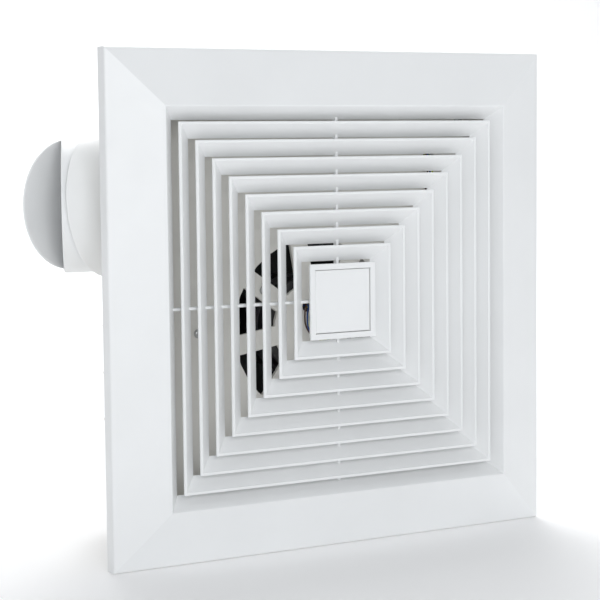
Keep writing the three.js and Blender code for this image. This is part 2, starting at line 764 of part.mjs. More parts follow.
function shutterPin() {
  return rod('z', PIN_RADIUS, -SPIGOT_RADIUS + 0.2, SPIGOT_RADIUS - 0.2, [0, 0], SMALL_ROUND);
}

function addOutlet(group) {
  add(group, 'outlet_spigot', outletSpigot(), whitePlastic());
  add(group, 'outlet_socket', outletSocket(), whitePlastic());
  add(group, 'shutter_pin', shutterPin(), steel(), -SHUTTER_PIVOT);
  const blade = new THREE.Group();
  blade.position.x = -SHUTTER_PIVOT;
  blade.rotation.z = Math.PI / 2 - radians(SHUTTER_ANGLE);
  add(blade, 'shutter_flap', shutterFlap(), whitePlastic());
  group.add(blade);
}

// ---- electrical ----
function terminalBox() {
  const { x, y, z } = TERMINAL_BOX;
  const inner = [x, y, z].map(([low, high]) => [low + WALL, high - WALL]);
  inner[1][0] = y[0] - 1;
  const gland = rod('x', GLAND_RADIUS + GAP, x[1] - 3, x[1] + 1, [GLAND_Y, GLAND_Z], 24);
  return cut(box(x, y, z), [box(...inner), gland]);
}

function terminalCover() {
  const { x, y, z } = TERMINAL_BOX;
  const lid = box(x, [y[0] - GAP - WALL, y[0] - GAP], z);
  return lid.subtract(rod('y', 4, y[0] - 5, y[0] + 1, [LEAD_PLATE_HOLE.x, LEAD_PLATE_HOLE.z], SMALL_ROUND));
}

function terminalBlock() {
  const back = TERMINAL_BOX.y[1] - WALL - GAP;
  const base = box([94, 115], [back - 12, back], [93, 119]);
  const wireWays = [];
  for (const z of [97.5, 106, 114.5]) {
    wireWays.push(rod('y', 2, back - 13, back - 9, [98, z], 12));
    wireWays.push(rod('y', 2, back - 13, back - 9, [110, z], 12));
  }
  return cut(base, wireWays);
}

function capacitor() {
  const { x, y, z } = TERMINAL_BOX;
  return box([x[0] + WALL + GAP, x[0] + 13], [y[1] - 38, y[1] - WALL - GAP], [z[0] + 4, z[1] - 4]);
}

function cableGland() {
  const outside = BOX_HALF_X + GAP;
  const gland = joined([
    rod('x', GLAND_RADIUS, BOX_HALF_X - 12, outside + 14, [GLAND_Y, GLAND_Z], 24),
    rod('x', GLAND_RADIUS + 4, outside, outside + 5, [GLAND_Y, GLAND_Z], 6),
  ]);
  return gland.subtract(rod('x', 4.5, BOX_HALF_X - 20, outside + 20, [GLAND_Y, GLAND_Z], 24));
}

function glandNut() {
  const face = TERMINAL_BOX.x[1] - WALL - GAP;
  const nut = rod('x', GLAND_RADIUS + 4, face - 4, face, [GLAND_Y, GLAND_Z], 6);
  return nut.subtract(rod('x', GLAND_RADIUS + GAP, face - 10, face + 5, [GLAND_Y, GLAND_Z], 24));
}

// The motor's three leads leave the front bell, loop over the spider hub, cross the plate and go
// through it to the terminal box. The leads run side by side.
function motorLead(index) {
  const start = [LEAD_HOLE.x, LEAD_HOLE.z + FAN_Z];
  const end = [LEAD_PLATE_HOLE.x, LEAD_PLATE_HOLE.z];
  const route = [
    [start[0], 32.6, start[1]],
    [start[0], 25, start[1]],
    [-7, 21.2, -13],
    [-6, 20.5, -24],
    [2, 20.8, -31],
    [17, 22, -28],
    [40, 22.8, -15],
    [64, 23, -4],
    [86, 23, 26],
    [100, 23, 70],
    [103, 22.6, 95],
    [end[0], 27.5, end[1]],
    [end[0], 40, end[1]],
    [end[0], 84, end[1]],
  ];
  const aside = new THREE.Vector3(-1.2, 1.5, 1.2).multiplyScalar(index - 1);
  const points = route.map((point) => new THREE.Vector3(...point).add(aside));
  const section = new THREE.Shape();
  section.absarc(0, 0, LEAD_RADIUS, 0, 2 * Math.PI);
  return solidOf(new THREE.ExtrudeGeometry(section, {
    steps: 48,
    curveSegments: 3,
    extrudePath: new THREE.CatmullRomCurve3(points, false, 'centripetal'),
  }));
}

function addElectrical(group) {
  add(group, 'terminal_box', terminalBox(), warmWhitePlastic());
  add(group, 'terminal_cover', terminalCover(), warmWhitePlastic());
  add(group, 'terminal_block', terminalBlock(), plastic(0xe4dfd0, 0.5));
  add(group, 'capacitor', capacitor(), plastic(0x2a2b2c, 0.45));
  add(group, 'cable_gland', cableGland(), blackPlastic());
  add(group, 'gland_nut', glandNut(), blackPlastic());
  add(group, 'motor_lead_earth', motorLead(0), plastic(0x9aa63a, 0.5));
  add(group, 'motor_lead_neutral', motorLead(1), plastic(0x2f4f8c, 0.5));
  add(group, 'motor_lead_live', motorLead(2), plastic(0x3a2a22, 0.5));
}

// ---- the whole fan ----
const extractorFan = new THREE.Group();
addPanel(extractorFan);
add(extractorFan, 'housing_shell', housingShell(), warmWhitePlastic());
add(extractorFan, 'orifice_plate', orificePlate(), warmWhitePlastic());
addPlateScrews(extractorFan);

const fan = new THREE.Group();
fan.position.z = FAN_Z;
addFan(fan);
extractorFan.add(fan);

const outlet = new THREE.Group();
outlet.position.set(-BOX_HALF_X, OUTLET_Y, OUTLET_Z);
addOutlet(outlet);
extractorFan.add(outlet);

addElectrical(extractorFan);

export default extractorFan;
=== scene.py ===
"""The looks of the ceiling duct extractor fan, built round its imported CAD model."""

import json
import math

import bmesh
import bpy
from mathutils import Matrix, Vector


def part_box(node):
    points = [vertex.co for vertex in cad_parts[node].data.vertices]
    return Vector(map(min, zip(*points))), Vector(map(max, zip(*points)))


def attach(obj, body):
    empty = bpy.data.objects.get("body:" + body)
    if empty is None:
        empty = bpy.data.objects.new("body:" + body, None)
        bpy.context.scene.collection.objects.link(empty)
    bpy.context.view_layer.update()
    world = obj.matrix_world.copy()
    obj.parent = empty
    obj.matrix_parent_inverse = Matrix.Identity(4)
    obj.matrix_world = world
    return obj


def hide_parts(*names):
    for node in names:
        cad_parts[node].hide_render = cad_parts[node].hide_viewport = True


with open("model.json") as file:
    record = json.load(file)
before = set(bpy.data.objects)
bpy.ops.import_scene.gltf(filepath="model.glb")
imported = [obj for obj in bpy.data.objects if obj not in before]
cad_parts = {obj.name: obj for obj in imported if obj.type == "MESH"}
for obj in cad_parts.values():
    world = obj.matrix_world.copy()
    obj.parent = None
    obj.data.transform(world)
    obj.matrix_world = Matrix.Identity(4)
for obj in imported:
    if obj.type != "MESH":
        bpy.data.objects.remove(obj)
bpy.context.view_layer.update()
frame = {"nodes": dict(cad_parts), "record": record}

MM = 0.001

# ---- the part's sizes in millimetres ----
# Two differ from the part's: BADGE_TRAY_HALF, as the badge tray here is slimmer, and RIB_FRONT, as the
# cross ribs here start a little further back.
PANEL_SIDE = 11
PANEL_WALL = 2.2
SKIRT_END = 3.4
OPENING_HALF = 140
LOUVRE_COUNT = 8
LOUVRE_PITCH = 12.7
LOUVRE_FIRST_HALF = 129.4
LOUVRE_FRONT = 19.7
LOUVRE_BACK = 9.2
LOUVRE_INSET = 9.6
LOUVRE_THICKNESS = 2.3
LIP_INSET = 9.7
RIB_WIDTH = 2.2
RIB_FRONT = 11.8
RIB_BACK = 7.5
BADGE_FRAME_HALF = 27.3
BADGE_TRAY_HALF = 23.1
BADGE_TRAY_FLOOR = 14.2
BADGE_HALF = 22.7
SPIGOT_RADIUS = 49.5
SPIGOT_WALL = 1.9
SPIGOT_REACH = 53.1
MOUTH_SLANT = 23.3
SOCKET_RADIUS = 53.5
SOCKET_REACH = 22.7
SOCKET_SLANT = 42.9
SOCKET_LEAN = -3
SHUTTER_HALF_HEIGHT = 46.8
SHUTTER_HALF_WIDTH = 50.2
SHUTTER_THICKNESS = 1.6
SHUTTER_ANGLE = 62.3
BOX_HALF_X = 120
BOX_HALF_Z = 127
TRAY_BACK = 29.8
FAN_Z = -22
LEAD_RADIUS = 0.65
STUD_RADIUS = 2.6
BARREL_RADIUS = 3.4
COLLAR_HEIGHT = 3
SCREW_HEAD_HEIGHT = 2.2

# ---- the housing's outside ribs and the small roundings, which only the looks have ----
HOUSING_RIB_HEIGHT = 2.4
HOUSING_RIB_HALF_WIDTH = 1
HOUSING_RIB_STOP = 3
LEFT_RIBS_Z = (-96, -60, -24)
RIGHT_RIBS_Z = (-96, -60, -24, 12, 48)
END_RIBS_X = (-80, -40, 0, 40, 80)
DEFAULT_EDGE = 0.25
EDGES = {
    "housing_shell": 0.8, "orifice_plate": 0.35, "scroll_wall": 0.3, "impeller": 0.25, "capacitor": 1.6,
    "motor_front_bell": 0.5, "motor_rear_bell": 0.5, "motor_shaft": 0.4, "shutter_pin": 0.3,
    "terminal_box": 0.5, "terminal_cover": 0.5, "terminal_block": 0.6,
    "cable_gland": 0.5, "gland_nut": 0.5, "impeller_nut": 0.5,
}

# ---- camera ----
CAMERA_PLACE = (-0.6603, -1.1306, 0.1135)
CAMERA_AZIMUTH = math.radians(29.33)
CAMERA_PITCH = math.radians(-4.98)
CAMERA_ROLL = math.radians(-0.61)
CAMERA_LENS = 107.7

# ---- studio, in metres and watts ----
FLOOR_Z = -0.1802
FLOOR_FRONT = -4.0
FLOOR_ENDS_X = (-5.0, 6.0)
FLOOR_GLOW = 0.12
BACKDROP_Y = 1.6
BACKDROP_RADIUS = 0.9
BACKDROP_STEPS = 16
BACKDROP_HEIGHT = 4.5
SKY_COLOUR = (0.93, 0.965, 1.0)
SKY_STRENGTH = 0.25
COOL_WHITE = (0.965, 0.985, 1.0)
NEUTRAL_WHITE = (1, 1, 1)
VIEW_GAMMA = 1.1
# Each light has a name, a place, the point it faces, the side of its square, its power and its colour.
LIGHTS = (
    ("front", (-0.9, -2.9, 0.75), (0, 0, 0), 1.6, 38, COOL_WHITE),
    ("top", (0.2, -0.4, 2.4), (0, 0, 0), 1.8, 8, COOL_WHITE),
    ("left", (-2.6, 0.35, 0.1), (-0.15, 0.05, 0), 1.4, 3, COOL_WHITE),
    ("right", (1.9, -2.3, 0.5), (0, 0, 0), 1.6, 3, COOL_WHITE),
    ("backdrop", (0.9, 2.2, 2.6), (1.2, 2.4, 0.0), 1.6, 60, NEUTRAL_WHITE),
    ("floor_wash", (0.7, 1.3, 2.2), (0.7, 1.3, -0.18), 1.6, 20, NEUTRAL_WHITE),
)

TUBE_SIDES = 128


# ---- materials ----
class Nodes:
    """Short names for building one material's nodes."""

    def __init__(self, name):
        self.material = bpy.data.materials.new(name)
        self.material.use_nodes = True
        self.tree = self.material.node_tree
        self.shader = self.tree.nodes["Principled BSDF"]
        self.place = self.new("ShaderNodeTexCoord").outputs["Object"]

    def new(self, kind, **values):
        node = self.tree.nodes.new(kind)
        for key, value in values.items():
            if key in node.inputs:
                node.inputs[key].default_value = value
            else:
                setattr(node, key, value)
        return node

    def link(self, source, target):
        self.tree.links.new(source, target)

    def noise(self, scale, detail=3.0, stretch=None):
        node = self.new("ShaderNodeTexNoise", Scale=scale, Detail=detail)
        source = self.place
        if stretch:
            mapping = self.new("ShaderNodeMapping", Scale=stretch)
            self.link(source, mapping.inputs["Vector"])
            source = mapping.outputs["Vector"]
        self.link(source, node.inputs["Vector"])
        return node.outputs["Fac"]

    def spread(self, source, low, high, start=0.3, end=0.7):
        node = self.new("ShaderNodeMapRange")
        for key, value in (("From Min", start), ("From Max", end), ("To Min", low), ("To Max", high)):
            node.inputs[key].default_value = value
        self.link(source, node.inputs["Value"])
        return node.outputs["Result"]

    def mix(self, factor, first, second):
        node = self.new("ShaderNodeMix", data_type="RGBA")
        self.link(factor, node.inputs["Factor"])
        for value, socket in ((first, node.inputs["A"]), (second, node.inputs["B"])):
            if isinstance(value, tuple):
                socket.default_value = (*value, 1)
            else:
                self.link(value, socket)
        return node.outputs["Result"]

    def shade(self, distance, inside=False):
        node = self.new("ShaderNodeAmbientOcclusion", samples=6, inside=inside)
        node.inputs["Distance"].default_value = distance
        return node.outputs["AO"]

    def bump(self, source, height, strength=1.0, below=None):
        node = self.new("ShaderNodeBump", Strength=strength, Distance=height)
        self.link(source, node.inputs["Height"])
        if below:
            self.link(below, node.inputs["Normal"])
        return node.outputs["Normal"]

    def finish(self, colour, roughness, normal, metallic=0.0, **sockets):
        self.link(colour, self.shader.inputs["Base Color"])
        self.link(roughness, self.shader.inputs["Roughness"])
        self.link(normal, self.shader.inputs["Normal"])
        self.shader.inputs["Metallic"].default_value = metallic
        for key, value in sockets.items():
            self.shader.inputs[key.replace("_", " ")].default_value = value
        return self.material


def moulded_plastic(name, colour, dust_and_shade_colour, roughness, grain=0.00002, waves=0.00006):
    """Injection-moulded plastic: faint cloudiness, a fine spark-eroded grain, slow sink waves,
    dust and painted crease shade where two faces meet, and edges rubbed a little lighter."""
    n = Nodes(name)
    clouds = n.noise(14, 4)
    tinted = n.mix(n.spread(clouds, 0, 1), tuple(0.965 * c for c in colour), colour)
    # painted shade: an occlusion mask pulls the colour towards the third colour in creases and corners, which
    # darkens the pale plastics there; on the black plastics the same mask shows as paler dust
    dust_and_crease_shade = n.mix(n.spread(n.shade(0.003), 0.4, 0, 0.1, 0.7), tinted, dust_and_shade_colour)
    rubbed = tuple(min(1, 1.06 * c) for c in colour)
    worn = n.mix(n.spread(n.shade(0.0012, inside=True), 0.5, 0, 0.35, 0.75), dust_and_crease_shade, rubbed)
    rough = n.spread(n.noise(60, 5), roughness - 0.05, roughness + 0.07)
    grain_normal = n.bump(n.noise(2600, 2), grain)
    normal = n.bump(n.noise(18, 2), waves, below=grain_normal)
    return n.finish(worn, rough, normal, Specular_IOR_Level=0.5)


def brushed_metal(name, colour, tarnish, roughness, stretch, grain=0.00001):
    """Plated or drawn metal with fine lines along its length, dull patches and brighter edges."""
    n = Nodes(name)
    patches = n.noise(70, 5)
    base = n.mix(n.spread(patches, 0, 1, 0.35, 0.75), colour, tarnish)
    bright = tuple(min(1, 1.2 * c) for c in colour)
    worn = n.mix(n.spread(n.shade(0.0008, inside=True), 0.6, 0, 0.3, 0.7), base, bright)
    lines = n.noise(900, 2, stretch)
    rough = n.spread(lines, roughness - 0.1, roughness + 0.12)
    return n.finish(worn, rough, n.bump(lines, grain), metallic=1.0)


def laminated(name):
    """Stacked steel sheets: thin dark joints across the fan's axis."""
    n = Nodes(name)
    wave = n.new("ShaderNodeTexWave", bands_direction="Y", Scale=620, Distortion=0.4)
    n.link(n.place, wave.inputs["Vector"])
    colour = n.mix(n.spread(wave.outputs["Fac"], 0, 1), (0.09, 0.09, 0.10), (0.38, 0.38, 0.40))
    rusty = n.mix(n.spread(n.noise(120, 4), 0, 0.35, 0.5, 0.8), colour, (0.25, 0.14, 0.08))
    rough = n.spread(n.noise(300), 0.4, 0.6)
    return n.finish(rusty, rough, n.bump(wave.outputs["Fac"], 0.00008), metallic=0.8)


def wound_copper(name):
    """Enamelled wire laid side by side, with varnish pooled between the turns."""
    n = Nodes(name)
    wave = n.new("ShaderNodeTexWave", wave_type="RINGS", rings_direction="Y", Scale=260, Distortion=1.5)
    n.link(n.place, wave.inputs["Vector"])
    colour = n.mix(n.spread(wave.outputs["Fac"], 0, 1), (0.16, 0.05, 0.02), (0.62, 0.24, 0.09))
    rough = n.spread(n.noise(400), 0.25, 0.45)
    return n.finish(colour, rough, n.bump(wave.outputs["Fac"], 0.0004), metallic=0.7, Coat_Weight=0.4)


def wire_sleeve(name, first, second, share):
    """A soft wire sleeve; a second colour runs along it in a stripe where it has one."""
    n = Nodes(name)
    stripe = n.noise(260, 1, (1, 1, 0.35))
    colour = n.mix(n.spread(stripe, 0, 1, share, share + 0.04), first, second)
    rough = n.spread(n.noise(500), 0.35, 0.5)
    return n.finish(colour, rough, n.bump(n.noise(1500), 0.00002))


def studio_white(name):
    """Matt white paper with a faint glow of its own, which keeps the floor and the wall pale."""
    n = Nodes(name)
    colour = n.mix(n.spread(n.noise(1.5), 0, 1), (0.90, 0.90, 0.905), (0.92, 0.92, 0.925))
    rough = n.spread(n.noise(20), 0.85, 0.95)
    normal = n.bump(n.noise(200), 0.00005)
    return n.finish(colour, rough, normal, Emission_Color=(1, 1, 1, 1), Emission_Strength=FLOOR_GLOW)


def make_materials():
    white = (0.90, 0.91, 0.915)
    return {
        # Each plastic's third colour is painted into its creases: painted shade on the pale plastics, dust on
        # the black ones.
        "white_plastic": moulded_plastic("white_plastic", white, (0.74, 0.73, 0.70), 0.38),
        "inner_plastic": moulded_plastic(
            "inner_plastic", (0.86, 0.84, 0.79), (0.66, 0.63, 0.57), 0.5, 0.00003),
        "black_plastic": moulded_plastic("black_plastic", (0.012, 0.012, 0.012), (0.05, 0.047, 0.04), 0.42),
        "black_paint": moulded_plastic(
            "black_paint", (0.014, 0.014, 0.015), (0.05, 0.047, 0.04), 0.35, 0.00004),
        "cream_plastic": moulded_plastic("cream_plastic", (0.72, 0.66, 0.50), (0.40, 0.36, 0.28), 0.45),
        "zinc_steel": brushed_metal("zinc_steel", (0.62, 0.63, 0.64), (0.40, 0.40, 0.38), 0.34, (1, 1, 0.1)),
        "bronze": brushed_metal("bronze", (0.48, 0.31, 0.12), (0.25, 0.16, 0.07), 0.45, (1, 1, 1), 0.00003),
        "core_steel": laminated("core_steel"),
        "winding": wound_copper("winding"),
        "lead_earth": wire_sleeve("lead_earth", (0.55, 0.62, 0.05), (0.08, 0.28, 0.05), 0.53),
        "lead_neutral": wire_sleeve("lead_neutral", (0.03, 0.08, 0.28), (0.02, 0.06, 0.22), 0.7),
        "lead_live": wire_sleeve("lead_live", (0.07, 0.03, 0.015), (0.05, 0.02, 0.01), 0.7),
    }


# ---- mesh tools ----
def rounded(points, radii, steps=3):
    """A closed outline with each corner turned on a small curve; radii is one number or one a point."""
    count = len(points)
    if not isinstance(radii, (list, tuple)):
        radii = [radii] * count
    result = []
    for i, point in enumerate(points):
        here = Vector(point)
        before = Vector(points[i - 1]) - here
        after = Vector(points[(i + 1) % count]) - here
        reach = min(radii[i], before.length * 0.48, after.length * 0.48)
        if reach <= 0:
            result.append(here)
            continue
        start = here + before.normalized() * reach
        end = here + after.normalized() * reach
        for k in range(steps + 1):
            t = k / steps
            result.append(start * (1 - t) ** 2 + here * 2 * t * (1 - t) + end * t * t)
    return result


def bridge(bm, loops, closed_around=True, closed_section=True):
    """Quads between neighbouring loops of vertices."""
    faces = []
    last = len(loops) if closed_around else len(loops) - 1
    for c in range(last):
        a, b = loops[c], loops[(c + 1) % len(loops)]
        span = len(a) if closed_section else len(a) - 1
        for i in range(span):
            j = (i + 1) % len(a)
            faces.append(bm.faces.new((a[i], a[j], b[j], b[i])))
    return faces


def square_ring(bm, section, capped=False):
    """A [half-width, y] section swept round a square with mitred corners. capped closes its two ends
    across the middle, for a solid form."""
    loops = []
    for sx, sz in ((1, 1), (-1, 1), (-1, -1), (1, -1)):
        loops.append([bm.verts.new((sx * half * MM, y * MM, sz * half * MM)) for half, y in section])
    bridge(bm, loops, closed_section=not capped)
    if capped:
        bm.faces.new([loop[0] for loop in loops])
        bm.faces.new([loop[-1] for loop in reversed(loops)])
    for loop in loops:
        for a, b in zip(loop, loop[1:] + loop[:1]):
            edge = bm.edges.get((a, b))
            if edge:
                edge.smooth = False


def turned(bm, section, axis, centre, sides=TUBE_SIDES, open_section=False):
    """A [radius, along] section turned about a row axis through centre; all in millimetres."""
    loops = []
    for i in range(sides):
        angle = 2 * math.pi * i / sides
        c, s = math.cos(angle), math.sin(angle)
        loop = []
        for radius, along in section:
            local = {"x": (along, radius * c, radius * s), "y": (radius * c, along, radius * s),
                     "z": (radius * c, radius * s, along)}[axis]
            loop.append(bm.verts.new([(a + b) * MM for a, b in zip(local, centre)]))
        loops.append(loop)
    bridge(bm, loops, closed_section=not open_section)
    if open_section:
        bm.faces.new([loop[0] for loop in loops])
        bm.faces.new([loop[-1] for loop in reversed(loops)])


def slab(bm, low, high, edge=0.4, steps=2):
    """A block between two corners in millimetres with rounded edges."""
    made = bmesh.ops.create_cube(bm, size=1)["verts"]
    for vert in made:
        vert.co = Vector([(low[k] if vert.co[k] < 0 else high[k]) * MM for k in range(3)])
    edges = list({e for v in made for e in v.link_edges})
    bmesh.ops.bevel(bm, geom=edges, offset=edge * MM, segments=steps, affect="EDGES", profile=0.5)


def weighted(obj, angle=40):
    """Smooth shading that keeps flat faces flat and edges sharper than angle crisp."""
    mesh = obj.data
    mesh.polygons.foreach_set("use_smooth", [True] * len(mesh.polygons))
    kept = {e.index for e in mesh.edges if e.use_edge_sharp}
    mesh.set_sharp_from_angle(angle=math.radians(angle))
    for index in kept:
        mesh.edges[index].use_edge_sharp = True
    modifier = obj.modifiers.new("weighted", "WEIGHTED_NORMAL")
    modifier.keep_sharp = True


def piece_from(bm, name, body, slot, replaced=(), angle=40):
    """Turns a bmesh into a named piece with its material, riding on a body."""
    bmesh.ops.recalc_face_normals(bm, faces=bm.faces)
    mesh = bpy.data.meshes.new(name)
    bm.to_mesh(mesh)
    bm.free()
    obj = bpy.data.objects.new(name, mesh)
    bpy.context.collection.objects.link(obj)
    weighted(obj, angle)
    dress(obj, body, slot, replaced)
    return obj


def dress(obj, body, slot, replaced=()):
    obj.data.materials.clear()
    obj.data.materials.append(materials[slot])
    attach(obj, body)
    if replaced:
        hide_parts(*replaced)


def refined(node, edge, steps=2, angle=32):
    """A CAD node's own shape with its edges rounded as a mould or a press leaves them."""
    mesh = frame["nodes"][node].data.copy()
    mesh.name = node + "_fine"
    bm = bmesh.new()
    bm.from_mesh(mesh)
    bmesh.ops.remove_doubles(bm, verts=bm.verts, dist=0.00001)
    bmesh.ops.dissolve_limit(bm, angle_limit=math.radians(1.2), verts=bm.verts, edges=bm.edges)
    bm.to_mesh(mesh)
    bm.free()
    obj = bpy.data.objects.new(node + "_fine", mesh)
    bpy.context.collection.objects.link(obj)
    mesh.polygons.foreach_set("use_smooth", [True] * len(mesh.polygons))
    mesh.set_sharp_from_angle(angle=math.radians(angle))
    bevel = obj.modifiers.new("edges", "BEVEL")
    bevel.limit_method = "ANGLE"
    bevel.angle_limit = math.radians(angle)
    bevel.width = edge * MM
    bevel.segments = steps
    bevel.harden_normals = True
    dress(obj, body_of[node], slot_of[node], (node,))
    return obj


# ---- panel ----
def louvre_section(half):
    """One louvre's leaning blade, as [half-width, y] points."""
    outline = [
        (half - LOUVRE_THICKNESS + 0.2, -LOUVRE_FRONT),
        (half, -LOUVRE_FRONT),
        (half, -LOUVRE_FRONT + 1.5),
        (half - LOUVRE_INSET - 0.6, -LOUVRE_BACK),
        (half - LOUVRE_INSET - LOUVRE_THICKNESS, -LOUVRE_BACK),
        (half - LOUVRE_THICKNESS, -LOUVRE_FRONT + 0.6),
    ]
    return rounded(outline, [0.7, 0.7, 0.5, 0.4, 0.4, 0.3], 3)


def frame_section(half, front):
    """The panel's outer frame: rim, sloping front, the opening's own lip and the skirt behind it."""
    outline = [
        (half, 0),
        (half, -PANEL_SIDE),
        (OPENING_HALF, -front),
        (OPENING_HALF - LIP_INSET, -LOUVRE_BACK),
        (OPENING_HALF - LIP_INSET + 1.7, -LOUVRE_BACK),
        (OPENING_HALF - 0.8, -front + 4.6),
        (OPENING_HALF - 0.8, -SKIRT_END),
        (OPENING_HALF + 1.2, -SKIRT_END),
        (OPENING_HALF + 1.2, -front + 2.9),
        (half - PANEL_WALL, -PANEL_SIDE + 1.8),
        (half - PANEL_WALL, 0),
    ]
    return rounded(outline, [0.3, 1.6, 0.7, 0.5, 0.5, 1.2, 0.4, 0.4, 0.8, 0.8, 0.3], 4)


def make_grille():
    """The frame, the nested louvres, the cross ribs and the tray that holds the badge."""
    low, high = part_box("front_grille")
    half, front = high[0] / MM, -low[1] / MM
    bm = bmesh.new()
    square_ring(bm, frame_section(half, front))
    for i in range(LOUVRE_COUNT):
        square_ring(bm, louvre_section(LOUVRE_FIRST_HALF - LOUVRE_PITCH * i))
    inner, outer, side = BADGE_TRAY_HALF, OPENING_HALF + 0.4, RIB_WIDTH / 2
    for sign in (-1, 1):
        reach = sorted((sign * inner, sign * outer))
        slab(bm, (reach[0], -RIB_FRONT, -side), (reach[1], -RIB_BACK, side), 0.5)
        slab(bm, (-side, -RIB_FRONT, reach[0]), (side, -RIB_BACK, reach[1]), 0.5)
    floor = -BADGE_TRAY_FLOOR
    tray = rounded([
        (1, floor),
        (BADGE_TRAY_HALF - 0.1, floor),
        (BADGE_TRAY_HALF, -LOUVRE_FRONT),
        (BADGE_FRAME_HALF, -LOUVRE_FRONT),
        (BADGE_FRAME_HALF, -LOUVRE_FRONT + 1.4),
        (BADGE_TRAY_HALF + 1.5, floor + 1.5),
        (1, floor + 1.5),
    ], [0, 0.5, 0.5, 0.8, 0.4, 0.6, 0], 3)
    square_ring(bm, tray, capped=True)
    under = inner + 1
    slab(bm, (-under, floor + 1, -side), (under, -RIB_BACK, side), 0.4)
    slab(bm, (-side, floor + 1, -under), (side, -RIB_BACK, under), 0.4)
    piece_from(bm, "louvred_panel", "panel", "white_plastic", ("front_grille",), 30)


def make_badge():
    """The blank square cap and the stud that holds it in its tray."""
    low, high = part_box("centre_badge")
    front, back = low[1] / MM, high[1] / MM
    bm = bmesh.new()
    face = rounded([
        (1, front),
        (BADGE_HALF, front),
        (BADGE_HALF, -BADGE_TRAY_FLOOR - 0.3),
        (1, -BADGE_TRAY_FLOOR - 0.3),
    ], [0, 0.9, 0.3, 0], 4)
    square_ring(bm, face, capped=True)
    stud = [(STUD_RADIUS, -BADGE_TRAY_FLOOR - 0.5), (STUD_RADIUS, back - 0.6), (STUD_RADIUS - 0.6, back)]
    turned(bm, stud, "y", (0, 0, 0), 32, True)
    piece_from(bm, "badge_cap", "panel", "white_plastic", ("centre_badge",), 30)


# ---- outlet ----
def outlet_centre():
    """Where the outlet's axis leaves the housing wall, and how far out the shutter's pin is."""
    low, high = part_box("shutter_pin")
    middle = [(a + b) / 2 / MM for a, b in zip(low, high)]
    return (-BOX_HALF_X, middle[1], middle[2]), middle[0]


def slanted_tube(bm, outer, inner, start, reach, slant, lean, lip, nearest=None):
    """A tube along -X whose far end lies in a leaning plane and has a rounded lip."""
    centre, _ = outlet_centre()
    grow_y = math.tan(math.radians(slant))
    grow_z = math.tan(math.radians(lean)) / math.cos(math.radians(slant))
    loops = []
    for i in range(TUBE_SIDES):
        angle = 2 * math.pi * i / TUBE_SIDES
        c, s = math.cos(angle), math.sin(angle)

        def end(radius):
            x = -reach + grow_y * radius * c + grow_z * radius * s
            return x if nearest is None else min(x, nearest)

        outline = rounded([
            (start, outer), (end(outer), outer), (end(inner), inner), (start, inner),
        ], [0.3, lip, lip, 0.3], 4)
        loops.append([bm.verts.new(((x + centre[0]) * MM, (r * c + centre[1]) * MM, (r * s + centre[2]) * MM))
                      for x, r in outline])
    bridge(bm, loops)


def make_outlet():
    """The spigot with its collar and a small boss at each end of the pin, and the wider socket."""
    centre, pin_x = outlet_centre()
    bm = bmesh.new()
    slanted_tube(bm, SPIGOT_RADIUS, SPIGOT_RADIUS - SPIGOT_WALL, 3.6, SPIGOT_REACH, MOUTH_SLANT, 0, 0.9)
    rise = SPIGOT_RADIUS + COLLAR_HEIGHT
    collar = [(SPIGOT_RADIUS - 1, 2.1), (rise, 2.1), (rise, 3.6), (SPIGOT_RADIUS - 1, 3.6)]
    turned(bm, rounded(collar, 0.3), "x", centre)
    for sign in (-1, 1):
        ends = sorted((sign * (SPIGOT_RADIUS - 2.5), sign * (SPIGOT_RADIUS - 0.1)))
        boss = [(BARREL_RADIUS, ends[0]), (BARREL_RADIUS, ends[1])]
        turned(bm, boss, "z", (pin_x, centre[1], centre[2]), 32, True)
    piece_from(bm, "duct_spigot", "fan_housing", "white_plastic", ("outlet_spigot",), 35)
    bm = bmesh.new()
    bore = SPIGOT_RADIUS + 0.3
    slanted_tube(bm, SOCKET_RADIUS, bore, -0.3, SOCKET_REACH, SOCKET_SLANT, SOCKET_LEAN, 1.0, -5)
    piece_from(bm, "duct_socket", "fan_housing", "white_plastic", ("outlet_socket",), 35)


def make_shutter():
    """The oval back-draught disc, its edge rounded, on the barrel that turns on the pin."""
    centre, pin_x = outlet_centre()
    half = SHUTTER_THICKNESS / 2
    bm = bmesh.new()
    loops = []
    rim = [(0.02, half), (0.5, half), (0.965, half), (0.988, half * 0.75), (0.998, half * 0.3),
           (0.998, -half * 0.3), (0.988, -half * 0.75), (0.965, -half), (0.5, -half), (0.02, -half)]
    for i in range(TUBE_SIDES):
        angle = 2 * math.pi * i / TUBE_SIDES
        x, z = SHUTTER_HALF_WIDTH * math.cos(angle), SHUTTER_HALF_HEIGHT * math.sin(angle)
        loops.append([bm.verts.new((x * s * MM, y * MM, z * s * MM)) for s, y in rim])
    bridge(bm, loops, closed_section=False)
    bm.faces.new([loop[0] for loop in loops])
    bm.faces.new([loop[-1] for loop in reversed(loops)])
    length = SHUTTER_HALF_HEIGHT - 1
    barrel = [(BARREL_RADIUS - 0.8, -length), (BARREL_RADIUS, -length + 0.8),
              (BARREL_RADIUS, length - 0.8), (BARREL_RADIUS - 0.8, length)]
    turned(bm, barrel, "z", (0, 0, 0), 32, True)
    turn = Matrix.Rotation(math.pi / 2 - math.radians(SHUTTER_ANGLE), 4, "Z")
    place = Matrix.Translation(Vector((pin_x, centre[1], centre[2])) * MM)
    bmesh.ops.transform(bm, matrix=place @ turn, verts=bm.verts)
    piece_from(bm, "shutter_blade", "shutter", "white_plastic", ("shutter_flap",), 35)


